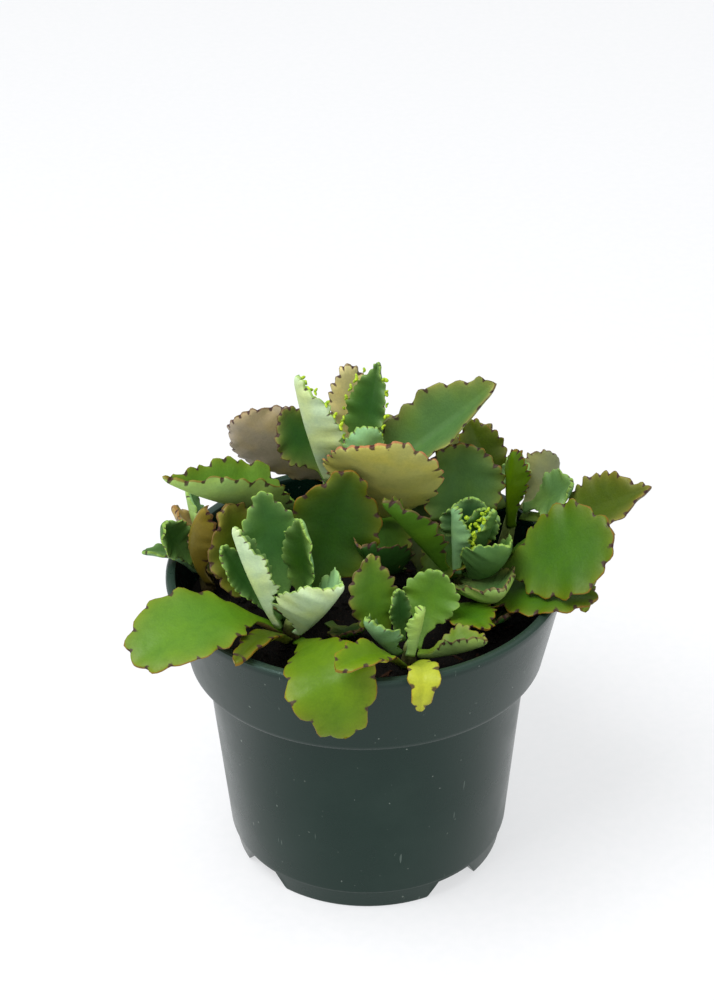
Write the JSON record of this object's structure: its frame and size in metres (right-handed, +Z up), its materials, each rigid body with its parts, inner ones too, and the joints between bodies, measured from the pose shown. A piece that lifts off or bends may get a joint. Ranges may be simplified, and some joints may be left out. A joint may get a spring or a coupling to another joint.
{
  "type": "potted kalanchoe plant",
  "caption": "Young succulent plants with toothed, fleshy leaves growing in a round tapered nursery pot with a wide rim band.",
  "frame": {"origin": "centre of the pot's underside, at the table", "axes": "+Z up, -Y towards the front of the arrangement, +X to its right"},
  "size_m": [0.1392, 0.1318, 0.141],
  "materials": {
    "pot_plastic": "dark green satin polypropylene, lightly scuffed",
    "peat_soil": "moist peat with bark bits, rough",
    "stem": "smooth green plant stem, satin",
    "leaf": "smooth waxy leaf, satin, with brown-purple notches at the margin"
  },
  "bodies": {
    "root": {"pot": "pot_plastic", "soil": "peat_soil", "front_left_stem": "stem", "front_left_leaf_1": "leaf", "front_left_leaf_2": "leaf", "front_left_leaf_3": "leaf", "front_left_leaf_4": "leaf", "front_left_leaf_5": "leaf", "front_left_leaf_6": "leaf", "front_left_leaf_7": "leaf", "front_left_leaf_8": "leaf", "front_left_leaf_9": "leaf", "front_left_leaf_10": "leaf", "front_stem": "stem", "front_leaf_1": "leaf", "front_leaf_2": "leaf", "front_leaf_3": "leaf", "front_leaf_4": "leaf", "front_leaf_5": "leaf", "front_leaf_6": "leaf", "front_leaf_7": "leaf", "front_leaf_8": "leaf", "right_stem": "stem", "right_leaf_1": "leaf", "right_leaf_2": "leaf", "right_leaf_3": "leaf", "right_leaf_4": "leaf", "right_leaf_5": "leaf", "right_leaf_6": "leaf", "right_leaf_7": "leaf", "right_leaf_8": "leaf", "right_leaf_9": "leaf", "right_leaf_10": "leaf", "centre_stem": "stem", "centre_leaf_1": "leaf", "centre_leaf_2": "leaf", "centre_leaf_3": "leaf", "centre_leaf_4": "leaf", "centre_leaf_5": "leaf", "centre_leaf_6": "leaf", "centre_leaf_7": "leaf", "left_stem": "stem", "left_leaf_1": "leaf", "left_leaf_2": "leaf", "left_leaf_3": "leaf", "left_leaf_4": "leaf", "left_leaf_5": "leaf", "back_right_stem": "stem", "back_right_leaf_1": "leaf", "back_right_leaf_2": "leaf", "back_right_leaf_3": "leaf", "back_right_leaf_4": "leaf", "back_right_leaf_5": "leaf", "back_right_leaf_6": "leaf", "back_right_leaf_7": "leaf", "back_stem": "stem", "back_leaf_1": "leaf", "back_leaf_2": "leaf", "back_leaf_3": "leaf", "back_leaf_4": "leaf"}
  },
  "joints": []
}
